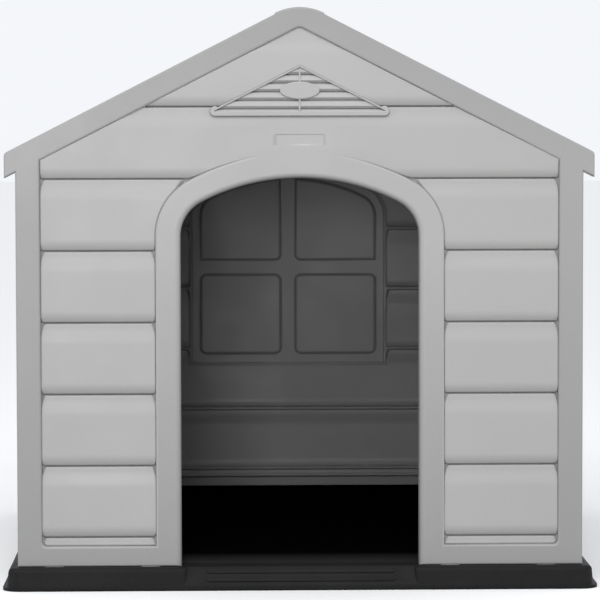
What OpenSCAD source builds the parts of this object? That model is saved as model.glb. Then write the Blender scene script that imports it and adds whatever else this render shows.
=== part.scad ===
// Knock-down plastic hutch: a ribbed base tray, two gable ends, two side walls,
// two roof halves under a ridge cap, a louvred gable vent and quarter-turn lock pins.
// Millimetres, +Z up, doorway towards -Y, origin under the middle of the base.

/* [Base tray] */
// Width over the foot flange
base_w = 960; // [820:5:1200]
// Length over the foot flange
base_l = 1050; // [880:5:1300]
// Height of the ledge that the walls stand on
ledge_h = 36; // [30:1:48]
// Rise of the floor above the ledge
floor_rise = 16; // [10:1:24]
// Width of the foot flange around the tray
foot_out = 6; // [4:1:10]
// Thickness of the foot flange
foot_t = 5; // [4:0.5:8]
// Plan radius of the tray corners
base_r = 28; // [15:1:50]
// Thickness of the stiffening ribs under the tray
rib_t = 2.5; // [2:0.5:4]

/* [Gable ends] */
// Distance from the foot flange to the walls' outer faces
wall_inset = 28; // [24:1:40]
// Height of the gable's apex above the ground, inside the rake boards
apex_in = 904; // [800:2:1100]
// Rise of the roof for each unit across
slope = 0.51; // [0.4:0.005:0.62]
// Upright height of the rake boards
rake_v = 40; // [34:1:56]
// How far the rake boards run out past the wall corners
eave_out = 18; // [10:1:30]
// Width of the corner posts
post_w = 39; // [36:1:60]
// Height of the bottom rail
rail_h = 32; // [26:1:50]
// Sheet thickness of every moulding
sheet = 3; // [2.5:0.5:4]
// Depth of the edge that the gable ends turn back round the house
return_d = 42; // [40:1:60]

/* [Doorway] */
// Clear width of the doorway
door_w = 384; // [300:2:460]
// Height of the arch springing above the ground
spring_z = 568; // [480:2:600]
// Radius of the arch at its haunches
haunch_r = 62; // [40:1:90]
// Radius of the arch at its crown
crown_r = 345; // [300:5:480]
// Width of the raised surround
surround_w = 40; // [34:1:52]
// Depth of the doorway's turned-back edge
jamb_d = 30; // [20:1:36]

/* [Siding] */
// Height of the lowest groove above the ground
groove_z0 = 83; // [76:1:100]
// Height of one board
board_h = 115.5; // [90:0.5:140]
// Depth of the board faces behind the posts
face_d = 2; // [1:0.5:3]
// Depth of the strips between the boards
strip_d = 11; // [8:0.5:14]

/* [Back window] */
// Width of the moulded blind window
window_w = 374; // [280:2:460]
// Height of the window's sill above the ground
window_z = 283; // [240:1:360]
// Height above the ground of the middle of the crossbar
crossbar_z = 470; // [430:5:520]
// Width of the glazing bars
bar_w = 30; // [20:1:40]
// Width of the window's outer frame
window_rim = 20; // [14:1:30]
// Depth of the panes behind the window frame
pane_d = 8; // [4:0.5:10]

/* [Roof] */
// Courses on each roof half
courses = 4; // [3:1:6]
// Step down at the lower edge of each course
course_step = 6; // [3:0.5:8]
// Half width of the ridge cap
cap_hw = 39; // [30:1:50]
// Radius of the ridge cap's crown, over the gable ends
cap_r = 89; // [85:1:120]

/* [Gable vent] */
// Half length of the louvred triangle
vent_hw = 136; // [100:2:150]
// Height of the triangle's lower edge above the ground
vent_z = 769; // [765:1:790]
// Width of the vent's rim along its foot and round its ends
vent_rim = 8; // [6:1:12]
// Width of the vent's rim up its two slopes
vent_side = 3.5; // [2.5:0.5:6]
// Distance from one louvre to the next
louvre_pitch = 13.7; // [11:0.1:18]
// Half width of the blank oval plate
oval_hw = 32; // [20:1:40]
// Half height of the blank oval plate
oval_hh = 14; // [10:1:18]

/* [Lock pins] */
// Diameter of the round shank
shank_d = 6.4; // [5:0.2:7]
// Length of the hammer head across the shank
hammer_l = 15; // [13:0.5:16]
// Diameter of the hand knob
knob_d = 28; // [24:1:32]
// Height of the knob's wing
wing_h = 11; // [8:1:16]
// Outer radius of the sockets behind the posts
socket_r = 12.5; // [12:0.5:13]
// Height of the lower corner pins above the ground
pin_low_z = 150; // [110:5:250]
// Height of the upper corner pins above the ground
pin_high_z = 520; // [400:5:600]
// Distance of the roof pins from the middle
pin_roof_x = 240; // [160:5:300]

/* [Fit] */
// Gap between mouldings that meet
fit = 0.4; // [0.3:0.1:0.8]
// Play around tabs and lock pins
play = 0.6; // [0.4:0.1:1]

/* [Hidden] */

along = sqrt(1 + slope * slope);        // sloping length for each unit across
pitch = atan(slope);
tuck = sheet + fit;                     // how far captured edges lie under the gable returns
post_x = base_w / 2 - wall_inset + 4;   // outer face of the corner posts
eave_x = post_x + eave_out;             // outer end of the rake boards
field_x = post_x - post_w;              // inner edge of the posts
wall_y = base_l / 2 - wall_inset;       // outer face of the gable ends
side_x = post_x - tuck;                 // outer face of the side walls
rail_z = ledge_h + rail_h;              // top of the bottom rail
floor_z = ledge_h + floor_rise;         // top of the raised floor
floor_x = side_x - 22.5;                // half width of the raised floor
floor_y = wall_y - 35;                  // half length of the raised floor
eave_r = 8;                             // rounding at the eave tips
corner_r = 8;                           // rounding at the recess corners

plate_z = crown_z(door_w / 2) + crown_r + surround_w + 12;    // foot of the blank plate's recess

seat_y = return_d - 15;                 // depth of the sockets' end faces
flange_y = seat_y + fit;                // depth of the flanges that the pins clamp
side_end_y = wall_y - flange_y;         // ends of the side walls and of the roof
flange_w = post_w - 2 * tuck - 1;       // how far the side walls' end flanges reach in
cap_lift = 1.9;                         // step up from the rake boards to the ridge curve
cap_z = rake_out(cap_hw) + cap_lift - sqrt(cap_r * cap_r - cap_hw * cap_hw);   // its centre height
seat_r = cap_r - 2 * tuck;              // roof seat under the ridge cap
slot_x = 4;                             // half width of the slot between the roof halves
lid_x = cap_hw + 2;                     // where the first course starts
roof_end_x = eave_x - tuck;             // outer face of the eave lips
course_w = (roof_end_x - 4.5 - lid_x) / courses;
vent_back = strip_d + sheet + 2.4;      // depth of the vent's rear flange
vent_lip = vent_rim + 10;               // reach of the vent's rear flange

pin_x = side_x - sheet - knob_d / 2 - 1.1;        // corner pins from the middle
pin_roof_z = apex_in - slope * pin_roof_x - 12;   // height of the roof pins
hammer_t = 4;
tab_w = 30;
tab_t = sheet;
tab_drop = 12;
front_tabs = [-field_x + 20, -door_w / 2 - surround_w - 10, door_w / 2 + surround_w + 10, field_x - 20];
back_tabs = [-field_x + 60, -140, 140, field_x - 60];
side_tabs = [-360, -120, 120, 360];
boards = floor((apex_in - groove_z0) / board_h) + 1;
rib_gap = 95;
grey = [0.72, 0.72, 0.72];
black = [0.06, 0.06, 0.06];

function rake_in(x) = apex_in - slope * abs(x);
function rake_out(x) = rake_in(x) + rake_v;
function roof_ref(x) = rake_out(x) - tuck * along;
function reversed(p) = [for (i = [len(p) - 1:-1:0]) p[i]];
function mirrored(p) = [for (i = [len(p) - 1:-1:0]) [-p[i][0], p[i][1]]];
function arc(cx, cz, r, a0, a1, n) =
  [for (i = [0:n]) [cx + r * cos(a0 + (a1 - a0) * i / n), cz + r * sin(a0 + (a1 - a0) * i / n)]];
function round_rect(x0, x1, z0, z1, r) = concat(
  arc(x1 - r, z0 + r, r, -90, 0, 5), arc(x1 - r, z1 - r, r, 0, 90, 5),
  arc(x0 + r, z1 - r, r, 90, 180, 5), arc(x0 + r, z0 + r, r, 180, 270, 5));

// Outline of a gable end, pulled in by t all round; right half from the foot to the ridge.
function gable_half(t) = concat(
  [[post_x - t, ledge_h + t],
   [post_x - t, rake_in(post_x - t) + t * along],
   [eave_x - t, rake_in(eave_x - t) + t * along]],
  arc(eave_x - eave_r, rake_out(eave_x) - eave_r * tan(45 - pitch / 2), eave_r - t, 0, 90 - pitch, 4),
  [[cap_hw - t, rake_out(cap_hw - t) - t * along]],
  arc(0, cap_z, cap_r - t, acos((cap_hw - t) / (cap_r - t)), 90, 6));
function gable_points(t) = concat(gable_half(t), mirrored(gable_half(t)));

// Recess between the posts, the bottom rail and the rake boards, grown by t.
function field_half(t) = concat(
  arc(field_x - corner_r, rail_z + corner_r, corner_r + t, 270, 360, 4),
  [[field_x + t, rake_in(field_x + t) + t * along], [0, apex_in + t * along]]);

// Arch of half width w grown by t, open at the foot; haunch arcs run into one flat crown arc.
function crown_z(w) = spring_z - sqrt(pow(crown_r - haunch_r, 2) - pow(w - haunch_r, 2));
function haunch_a(w) = atan2(spring_z - crown_z(w), w - haunch_r);
function arch_half(w, t) = concat(
  [[w + t, 0]],
  arc(w - haunch_r, spring_z, haunch_r + t, 0, haunch_a(w), 8),
  arc(0, crown_z(w), crown_r + t, haunch_a(w), 90, 12));

// Triangle of the vent, grown by r along its foot and round its ends, and by s up its slopes.
function vent_points(r, s) = let (a = r > s ? acos(s / r) : 0) concat(
  arc(vent_hw, vent_z, r, -90, 90 - pitch + a, 6),
  arc(0, vent_z + vent_hw * slope, s, 90 - pitch, 90 + pitch, 3),
  arc(-vent_hw, vent_z, r, 90 + pitch - a, 270, 6));

// One board in section as [depth, height above its groove], from its lower roll to its shoulder.
board_profile = [
  [strip_d, 0], [8.5, 1.5], [5.2, 6], [3, 13], [face_d, 22],
  [face_d, board_h - 26], [4, board_h - 18], [8.5, board_h - 12], [strip_d, board_h - 8.5]];
function siding_line(d) = concat(
  [[strip_d + d, ledge_h]],
  [for (k = [0:boards - 1]) for (p = board_profile) [p[0] + d, groove_z0 + k * board_h + p[1]]],
  [[strip_d + d, groove_z0 + boards * board_h]]);

// Outer face of the right roof half as [x, z], sunk by d: ridge seat, then lapped courses.
function seat_a(x, r) = 90 - asin(x / r);
function course_x(k) = lid_x + k * course_w;
course_slope = slope - course_step / course_w;
function roof_line(d) = concat(
  arc(0, cap_z, seat_r - d, seat_a(slot_x, seat_r - d), seat_a(cap_hw - 1 - 0.6 * d, seat_r - d), 6),
  [for (k = [0:courses - 1]) for (e = [0, 1]) [
    course_x(k + e) - d,
    roof_ref(course_x(k + e)) - (1 - e) * course_step + d * (course_slope - along)]]);
eave_foot_z = rake_in(roof_end_x) + tuck * along;
eave_arc_z = roof_ref(roof_end_x) - 5 * tan(45 - pitch / 2);
function roof_section() = concat(
  roof_line(0),
  arc(roof_end_x - 5, eave_arc_z, 5, 90 - pitch, 0, 4),
  [[roof_end_x, eave_foot_z], [roof_end_x - sheet, eave_foot_z + sheet * slope],
   [roof_end_x - sheet, eave_arc_z - 3]],
  reversed(roof_line(sheet)));
// Top edge of the side walls, just under the roof.
side_top = roof_ref(side_x) - sheet * along - fit
  - course_step * (course_x(courses) - side_x) / course_w;
side_field_top = eave_foot_z - 34;

// Extrudes an X-Z drawing from depth d0 to depth d1 behind the front face.
module from_front(d0, d1) {
  translate([0, d1 - wall_y, 0]) rotate([90, 0, 0]) linear_extrude(d1 - d0) children();
}

// Extrudes a Y-Z drawing from depth d0 to depth d1 inside the right-hand wall's face.
module from_side(d0, d1) {
  translate([side_x - d1, 0, 0]) rotate([90, 0, 90]) linear_extrude(d1 - d0) children();
}

// Extrudes a [depth, z] drawing across X, with depth measured from Y = 0 towards +Y.
module across(width) {
  rotate([90, 0, 90]) translate([0, 0, -width / 2]) linear_extrude(width) children();
}

// Extrudes an X-Z drawing along the house, half to each side of the middle.
module lengthwise(half) {
  translate([0, half, 0]) rotate([90, 0, 0]) linear_extrude(2 * half) children();
}

module siding(width) {
  across(width) polygon(concat(siding_line(0), reversed(siding_line(sheet))));
}

// Space in front of the siding and a little way into its sheet.
module siding_void(width) {
  across(width) polygon(concat(
    [[-1, ledge_h]], siding_line(1), [[-1, groove_z0 + boards * board_h]]));
}

module gable_shape(t) { polygon(gable_points(t)); }

module gable_field(t) { polygon(concat(field_half(t), mirrored(field_half(t)))); }

module arch_shape(w, t) { polygon(concat(arch_half(w, t), mirrored(arch_half(w, t)))); }

module door_shape(t) { arch_shape(door_w / 2, t); }

module vent_shape(r) { polygon(vent_points(r, r)); }

module vent_rim_shape(t) { polygon(vent_points(vent_rim + t, vent_side + t)); }

// Recess of the front: the gable field less the door surround, grown by t.
module front_field(t) {
  difference() {
    gable_field(t);
    door_shape(surround_w - t);
  }
}

module slot_shape() {
  w = shank_d + 2 * play;
  h = (hammer_l + 2 * play - w) / 2;
  polygon(concat(arc(0, h, w / 2, 0, 180, 10), arc(0, -h, w / 2, 180, 360, 10)));
}

// Socket behind a gable end's face, closed by a slotted end plate.
module socket(x, z) {
  bore_r = socket_r - sheet;
  translate([x, -wall_y, z]) rotate([-90, 0, 0]) difference() {
    translate([0, 0, sheet - 0.5]) cylinder(r = socket_r, h = seat_y - sheet + 0.5, $fn = 48);
    translate([0, 0, seat_y - sheet - 9]) cylinder(r = bore_r, h = 9, $fn = 48);
    translate([0, 0, seat_y - sheet - 1]) linear_extrude(sheet + 2) slot_shape();
  }
}

// Everything that the front and the back gable ends share, with the given tabs.
module gable_common(tabs) {
  from_front(0, return_d) difference() {
    gable_shape(0);
    gable_shape(sheet);
    translate([-post_x + sheet, ledge_h - 1]) square([2 * post_x - 2 * sheet, sheet + 2]);
  }
  from_front(0, seat_y - 1) translate([-post_x, ledge_h]) square([2 * post_x, sheet]);
  from_front(0, strip_d + sheet) intersection() {
    difference() {
      gable_field(sheet);
      gable_field(0);
    }
    gable_shape(0);
  }
  difference() {
    for (s = [-1, 1]) {
      socket(s * pin_x, pin_low_z);
      socket(s * pin_x, pin_high_z);
      socket(s * pin_roof_x, pin_roof_z);
    }
    intersection() {
      translate([0, -wall_y, 0]) siding_void(2 * field_x + 8);
      from_front(-1, strip_d + sheet + 1) gable_field(0);
    }
  }
  for (x = tabs)
    translate([x - tab_w / 2, -wall_y, ledge_h - tab_drop]) cube([tab_w, tab_t, tab_drop + 1]);
}

// Hooks that hold the vent's rear flange, clear of the siding's face.
module vent_hooks() {
  length = vent_back + 2 * sheet + fit - 4;
  difference() {
    union() {
      for (x = [-70, 70]) translate([x - 8, 4 - wall_y, vent_z - vent_lip - 7]) {
        cube([16, length, 7 - fit]);
        translate([0, length - sheet, 0]) cube([16, sheet, 11]);
      }
      for (s = [-1, 1]) translate([s * 62, 4 - wall_y, vent_z + (vent_hw - 62) * slope])
        rotate([0, s * pitch, 0]) translate([-8, 0, vent_lip + fit]) {
          cube([16, length, 6]);
          translate([0, length - sheet, -4 - fit]) cube([16, sheet, 10]);
        }
    }
    translate([0, -wall_y, 0]) siding_void(2 * vent_hw);
  }
}

module front_panel() {
  color(grey) difference() {
    union() {
      from_front(0, sheet) difference() {
        gable_shape(0);
        front_field(0);
      }
      gable_common(front_tabs);
      from_front(0, strip_d + sheet) intersection() {
        difference() {
          door_shape(surround_w);
          door_shape(surround_w - sheet);
        }
        gable_field(0);
      }
      intersection() {
        translate([0, -wall_y, 0]) siding(2 * field_x + 2);
        from_front(0, strip_d + sheet + 1) front_field(0.5);
      }
      from_front(0, jamb_d) intersection() {
        door_shape(sheet);
        gable_shape(0);
      }
      vent_hooks();
    }
    from_front(-1, return_d + 1) door_shape(0);
    from_front(-1, strip_d + sheet + 1) vent_rim_shape(fit);
    translate([-39.5, -wall_y, plate_z]) cube([79, face_d + 0.8, 18.5]);
  }
}

// Outline of the blind window, grown by t; its head is arched like the doorway's.
module window_shape(t) {
  intersection() {
    arch_shape(window_w / 2, t);
    translate([-window_w, window_z - t]) square([2 * window_w, apex_in]);
  }
}

// The four panes, grown by t; the upper pair follows the arch.
module panes(t) {
  x0 = bar_w / 2 - t;
  x1 = window_w / 2 - window_rim + t;
  r = 10 + t;
  intersection() {
    for (s = [0, 1]) mirror([s, 0]) {
      polygon(round_rect(x0, x1, window_z + window_rim + 2 - t, crossbar_z - x0, r));
      polygon(round_rect(x0, x1 + 20, crossbar_z + x0, apex_in, r));
    }
    window_shape(t - window_rim);
  }
}

module back_panel() {
  color(grey) mirror([0, 1, 0]) {
    from_front(0, sheet) difference() {
      gable_shape(0);
      gable_field(0);
    }
    gable_common(back_tabs);
    intersection() {
      translate([0, -wall_y, 0]) siding(2 * field_x + 2);
      from_front(0, strip_d + sheet + 1) difference() {
        gable_field(0.5);
        window_shape(-sheet / 2);
      }
    }
    from_front(0, strip_d + sheet) difference() {
      window_shape(0);
      window_shape(-sheet);
    }
    from_front(0, sheet) difference() {
      window_shape(0);
      panes(0);
    }
    from_front(0, pane_d + sheet) difference() {
      panes(sheet);
      panes(0);
    }
    from_front(pane_d, pane_d + sheet) panes(0.5);
  }
}

// Recess of a side wall's boards, grown by t.
module side_field(t) {
  half = side_end_y - 42 + t;
  polygon(round_rect(-half, half, rail_z - t, side_field_top + t, corner_r + t));
}

// End flange of the right-hand wall, drawn for the end towards -Y.
module side_flange() {
  difference() {
    translate([side_x - flange_w, -side_end_y, ledge_h]) cube([flange_w, sheet, side_top - ledge_h]);
    for (z = [pin_low_z, pin_high_z])
      translate([pin_x, -side_end_y - 1, z]) rotate([-90, 0, 0]) linear_extrude(sheet + 2) slot_shape();
  }
}

module right_side_panel() {
  color(grey) {
    from_side(0, sheet) difference() {
      translate([-side_end_y, ledge_h]) square([2 * side_end_y, side_top - ledge_h]);
      side_field(0);
    }
    from_side(0, strip_d + sheet) difference() {
      side_field(sheet);
      side_field(0);
    }
    intersection() {
      translate([side_x, 0, 0]) rotate([0, 0, 90]) siding(2 * side_end_y);
      from_side(0, strip_d + sheet + 1) side_field(0.5);
    }
    for (z = [ledge_h, side_top - sheet])
      from_side(0, 16) translate([-side_end_y, z]) square([2 * side_end_y, sheet]);
    side_flange();
    mirror([0, 1, 0]) side_flange();
    for (y = side_tabs)
      translate([side_x - tab_t, y - tab_w / 2, ledge_h - tab_drop]) cube([tab_t, tab_w, tab_drop + 1]);
  }
}

module left_side_panel() { mirror([1, 0, 0]) right_side_panel(); }

// End flange of the right roof half, drawn for the end towards -Y.
module roof_flange() {
  x0 = lid_x + 6;
  x1 = side_x - flange_w - 4;
  low = 30;
  translate([0, sheet - side_end_y, 0]) rotate([90, 0, 0]) linear_extrude(sheet) difference() {
    intersection() {
      polygon(concat(roof_line(1), [[roof_end_x, 0], [slot_x, 0]]));
      polygon([[x0, rake_out(x0)], [x1, rake_out(x1)], [x1, rake_in(x1) - low], [x0, rake_in(x0) - low]]);
    }
    translate([pin_roof_x, pin_roof_z]) slot_shape();
  }
}

module right_roof_panel() {
  color(grey) {
    lengthwise(side_end_y) polygon(roof_section());
    roof_flange();
    mirror([0, 1, 0]) roof_flange();
  }
}

module left_roof_panel() { mirror([1, 0, 0]) right_roof_panel(); }

// Arched strip over the ridge, with two sprung legs that grip the roof halves' edges.
module ridge_cap() {
  r = cap_r - tuck;
  a = seat_a(cap_hw - tuck, r);
  leg_x = slot_x - play;
  top = cap_z + r - sheet + 1;
  lip = cap_z + seat_r - sheet - 1;
  leg = [[1.2, top], [leg_x, top], [leg_x, lip], [leg_x + 2.2, lip - 0.6], [leg_x - 1, lip - 7], [1.2, lip - 7]];
  color(grey) {
    lengthwise(side_end_y)
      polygon(concat(arc(0, cap_z, r, a, 180 - a, 16), arc(0, cap_z, r - sheet, 180 - a, a, 16)));
    lengthwise(side_end_y) polygon(leg);
    lengthwise(side_end_y) polygon(mirrored(leg));
  }
}

// Louvre slats: an upright face over a bevelled foot, with a blade that rises behind the next foot.
module slats() {
  count = floor(vent_hw * slope / louvre_pitch) + 2;
  top = louvre_pitch - 2.7;
  for (i = [-1:count]) {
    z = vent_z + 4 + i * louvre_pitch;
    translate([0, -wall_y, 0]) across(2 * vent_hw + 2 * vent_rim)
      polygon([[4, z], [1, z + 4], [2.4, z + top], [11, z + top + 6], [12.4, z + top + 4.2], [5.6, z + top - 2.5]]);
  }
}

module vent_grille() {
  oval_z = vent_z + 33;
  plate = [for (i = [0:47]) [oval_hw * cos(i * 7.5), oval_z + oval_hh * sin(i * 7.5)]];
  color(grey) {
    from_front(-1, vent_back + sheet) difference() {
      vent_rim_shape(0);
      vent_shape(0);
    }
    from_front(vent_back, vent_back + sheet) difference() {
      vent_shape(vent_lip);
      vent_shape(0);
    }
    intersection() {
      slats();
      from_front(0, vent_back) vent_shape(0.5);
    }
    from_front(0.5, 13) intersection() {
      translate([-1.5, vent_z - 1]) square([3, vent_hw]);
      vent_shape(0.5);
    }
    from_front(-1, 4) polygon(plate);
  }
}

// Quarter-turn pin on the front's socket line: hammer head outside, knob inside, locked.
module pin_at(x, z) {
  knob_y = flange_y + sheet + fit;
  hammer_y = seat_y - sheet - 5;
  color(black) translate([x, -wall_y, z]) {
    rotate([-90, 0, 0]) translate([0, 0, hammer_y + 1]) cylinder(d = shank_d, h = knob_y - hammer_y, $fn = 32);
    intersection() {
      translate([-hammer_l / 2, hammer_y, -shank_d / 2 + 0.1]) cube([hammer_l, hammer_t, shank_d - 0.2]);
      rotate([-90, 0, 0]) cylinder(d = hammer_l, h = 60, $fn = 48);
    }
    rotate([-90, 0, 0]) translate([0, 0, knob_y]) cylinder(d = knob_d, h = 5, $fn = 48);
    translate([-knob_d / 2 + 2, knob_y + 4, -3]) cube([knob_d - 4, wing_h + 1, 6]);
  }
}

module pin_front_left_low() { pin_at(-pin_x, pin_low_z); }
module pin_front_left_high() { pin_at(-pin_x, pin_high_z); }
module pin_front_right_low() { pin_at(pin_x, pin_low_z); }
module pin_front_right_high() { pin_at(pin_x, pin_high_z); }
module pin_back_left_low() { mirror([0, 1, 0]) pin_at(-pin_x, pin_low_z); }
module pin_back_left_high() { mirror([0, 1, 0]) pin_at(-pin_x, pin_high_z); }
module pin_back_right_low() { mirror([0, 1, 0]) pin_at(pin_x, pin_low_z); }
module pin_back_right_high() { mirror([0, 1, 0]) pin_at(pin_x, pin_high_z); }
module pin_roof_front_left() { pin_at(-pin_roof_x, pin_roof_z); }
module pin_roof_front_right() { pin_at(pin_roof_x, pin_roof_z); }
module pin_roof_back_left() { mirror([0, 1, 0]) pin_at(-pin_roof_x, pin_roof_z); }
module pin_roof_back_right() { mirror([0, 1, 0]) pin_at(pin_roof_x, pin_roof_z); }

// Cross-section of the tray's body, half width w at the foot, pulled in by t.
edge_r = 8;
function tray_half(w, t) = concat(
  [[w - t, -1], [w - t - 3, ledge_h - edge_r - t]],
  arc(w - 3 - edge_r - t, ledge_h - edge_r - t, edge_r, 0, 90, 5));
function tray_section(w, t) = concat(tray_half(w, t), mirrored(tray_half(w, t)));

// Body under the ledge, pulled in by t.
module tray_body(t) {
  w = base_w / 2 - foot_out;
  l = base_l / 2 - foot_out;
  intersection() {
    linear_extrude(ledge_h) polygon(round_rect(t - w, w - t, t - l, l - t, base_r - t));
    lengthwise(base_l) polygon(tray_section(w, t));
    rotate([0, 0, 90]) lengthwise(base_w) polygon(tray_section(l, t));
  }
}

// Space in front of the doorway's sloping sill, grown by t.
sill_hw = door_w / 2 - 8;
sill_y = wall_y + 6;                    // where the slope starts
sill_r = 10;                            // rounding where the rim ends beside the sill
module sill_space(t) {
  front = base_l / 2 - foot_out;
  half = arc(sill_hw + sill_r, sill_r - front, sill_r - t, -90, -180, 6);
  intersection() {
    linear_extrude(ledge_h + 2) polygon(concat(
      [[sill_hw + sill_r, -front - 1]], half, [[sill_hw - t, t - sill_y]],
      [[t - sill_hw, t - sill_y]], mirrored(half), [[-sill_hw - sill_r, -front - 1]]));
    across(base_w) polygon([
      [-front, foot_t + 1 - t], [t * 0.6 - sill_y, ledge_h - t], [t - sill_y, ledge_h + 2],
      [-front - 2, ledge_h + 2], [-front - 2, foot_t + 1 - t]]);
  }
}

// Two long grips on the slope of the sill.
module sill_grips() {
  run = base_l / 2 - foot_out - sill_y;
  rise = ledge_h - foot_t - 1;
  for (f = [0.24, 0.66])
    translate([0, -sill_y - run * f, ledge_h - rise * f]) rotate([90 - atan2(run, rise), 0, 0])
      translate([0, 0, -1]) linear_extrude(3)
        polygon(concat(arc(148, 0, 3.5, -90, 90, 8), arc(-148, 0, 3.5, 90, 270, 8)));
}

// Ribs that stiffen the tray from below.
module tray_ribs() {
  nx = floor((base_w / 2 - 20) / rib_gap);
  ny = floor((base_l / 2 - 20) / rib_gap);
  for (i = [-nx:nx]) translate([i * rib_gap - rib_t / 2, -base_l / 2 + foot_out + 1, 1])
    cube([rib_t, base_l - 2 * foot_out - 2, floor_z]);
  for (i = [-ny:ny]) translate([-base_w / 2 + foot_out + 1, i * rib_gap - rib_t / 2, 1])
    cube([base_w - 2 * foot_out - 2, rib_t, floor_z]);
}

module tray_solid(t) {
  difference() {
    tray_body(t);
    sill_space(t);
  }
  translate([0, 0, -1]) linear_extrude(floor_z + 1 - t)
    polygon(round_rect(t - floor_x, floor_x - t, t - floor_y, floor_y - t, 12));
}

module tab_slots() {
  w = tab_w + 2 * play;
  t = tab_t + 2 * play;
  for (x = front_tabs) translate([x - w / 2, -wall_y - play, ledge_h - tab_drop - 2]) cube([w, t, tab_drop + 3]);
  for (x = back_tabs) translate([x - w / 2, wall_y + play - t, ledge_h - tab_drop - 2]) cube([w, t, tab_drop + 3]);
  for (s = [-1, 1]) for (y = side_tabs)
    translate([s * (side_x - tab_t / 2) - t / 2, y - w / 2, ledge_h - tab_drop - 2]) cube([t, w, tab_drop + 3]);
}

module base_tray() {
  color(black) difference() {
    union() {
      difference() {
        union() {
          intersection() {
            tray_solid(0);
            linear_extrude(floor_z + 1) square([base_w, base_l], center = true);
          }
          linear_extrude(foot_t) polygon(round_rect(-base_w / 2, base_w / 2, -base_l / 2, base_l / 2, base_r));
          sill_grips();
        }
        translate([0, 0, -0.01]) tray_solid(sheet);
      }
      intersection() {
        tray_ribs();
        tray_solid(sheet - 0.5);
      }
    }
    tab_slots();
  }
}

base_tray();
front_panel();
back_panel();
left_side_panel();
right_side_panel();
left_roof_panel();
right_roof_panel();
ridge_cap();
vent_grille();
pin_front_left_low();
pin_front_left_high();
pin_front_right_low();
pin_front_right_high();
pin_back_left_low();
pin_back_left_high();
pin_back_right_low();
pin_back_right_high();
pin_roof_front_left();
pin_roof_front_right();
pin_roof_back_left();
pin_roof_back_right();
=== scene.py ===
import bmesh
import bpy
import math
import numpy as np
from mathutils import Matrix, Vector
from mathutils.geometry import delaunay_2d_cdt


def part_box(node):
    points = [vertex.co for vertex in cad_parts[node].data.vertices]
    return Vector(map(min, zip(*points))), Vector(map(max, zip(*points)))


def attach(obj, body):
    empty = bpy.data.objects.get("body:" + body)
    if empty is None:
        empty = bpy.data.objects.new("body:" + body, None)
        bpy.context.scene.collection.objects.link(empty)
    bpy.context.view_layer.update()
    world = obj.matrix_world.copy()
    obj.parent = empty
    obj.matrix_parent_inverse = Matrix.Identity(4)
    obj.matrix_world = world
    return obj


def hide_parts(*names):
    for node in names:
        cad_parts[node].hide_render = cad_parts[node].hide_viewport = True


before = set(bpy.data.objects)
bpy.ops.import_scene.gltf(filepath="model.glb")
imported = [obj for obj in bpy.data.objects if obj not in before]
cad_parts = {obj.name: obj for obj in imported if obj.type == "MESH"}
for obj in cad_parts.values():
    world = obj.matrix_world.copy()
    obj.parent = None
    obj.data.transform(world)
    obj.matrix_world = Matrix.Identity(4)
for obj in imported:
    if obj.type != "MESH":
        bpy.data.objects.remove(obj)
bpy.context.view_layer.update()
scene = bpy.context.scene
print("frame loaded:", len(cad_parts), "nodes")

# Lengths below are millimetres until a piece is built; heights run up from the ground.
frontBox = [np.array(corner) * 1000 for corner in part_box("front_panel")]
house = {
    "eaveX": frontBox[1][0],  # tips of the rake boards
    "wallY": -frontBox[0][1],  # outer faces of the gable ends
    "returnD": 42.0,  # depth of the edge that the gable ends turn back
    "postX": frontBox[1][0] - 18.0,  # outer faces of the corner posts
    "postW": 39.0,  # width of the corner posts
    "ledgeZ": 36.0,  # ledge that the walls stand on
    "railH": 32.0,  # height of the bottom rail
    "apexZ": 904.0,  # inner edge of the rake boards at the middle
    "slope": 0.51,  # rise of the roof for each unit across
    "rakeUpright": 40.0,  # upright height of the rake boards
    "capHalf": 39.0,  # half width of the ridge cap
    "capR": 89.0,  # radius of the ridge curve over the gable ends
    "capLift": 1.9,  # rise of that curve's ends above the rake boards
    "tipR": 8.0,  # rounding of the eave tips
    "cornerR": 8.0,  # rounding of the recesses' corners
    "tabHalf": 15.0,  # half width of the tabs in the base
    "tabDrop": 12.0,  # how far the tabs reach below the ledge
    "sheet": 3.0,  # wall thickness of every moulding
    "fit": 0.4,  # gap between mouldings that meet
}
postX, wallY, sheet = house["postX"], house["wallY"], house["sheet"]
ledgeZ, apexZ, slope = house["ledgeZ"], house["apexZ"], house["slope"]
fieldX = postX - house["postW"]
railZ = ledgeZ + house["railH"]
tuck = sheet + house["fit"]
sideX = postX - tuck
flangeY = house["returnD"] - 15.0 + house["fit"]
endY = wallY - flangeY  # ends of the side walls and of the roof
along = math.hypot(1.0, slope)
pitch = math.degrees(math.atan(slope))


def rakeIn(x):
    return apexZ - slope * np.abs(x)


def rakeOut(x):
    return rakeIn(x) + house["rakeUpright"]


# height of the ridge curve's centre
capZ = rakeOut(house["capHalf"]) + house["capLift"] - math.sqrt(house["capR"] ** 2 - house["capHalf"] ** 2)


def smooth(t):
    t = np.clip(t, 0.0, 1.0)
    return t * t * (3.0 - 2.0 * t)


# from 0 at the first of two stops to 1 at the second
def fade(value, stops):
    return smooth((value - stops[0]) / (stops[1] - stops[0]))


def arcPoints(cx, cz, radius, start, stop, steps):
    angles = np.radians(np.linspace(start, stop, steps + 1))
    return np.stack([cx + radius * np.cos(angles), cz + radius * np.sin(angles)], 1)


def mirrorX(loop):
    return loop[::-1] * np.array([-1.0, 1.0])


def mirrorHalf(half):
    other = mirrorX(half)
    return np.vstack([half, other[1:] if abs(half[-1][0]) < 1e-6 else other])


def tidyLoop(points):
    keep = np.linalg.norm(points - np.roll(points, 1, 0), axis=1) > 1e-3
    return points[keep]


# patches of points, faces and corner normals gather in a shell, in metres
def newShell():
    return {"points": [], "faces": [], "normals": [], "count": 0}


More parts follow.
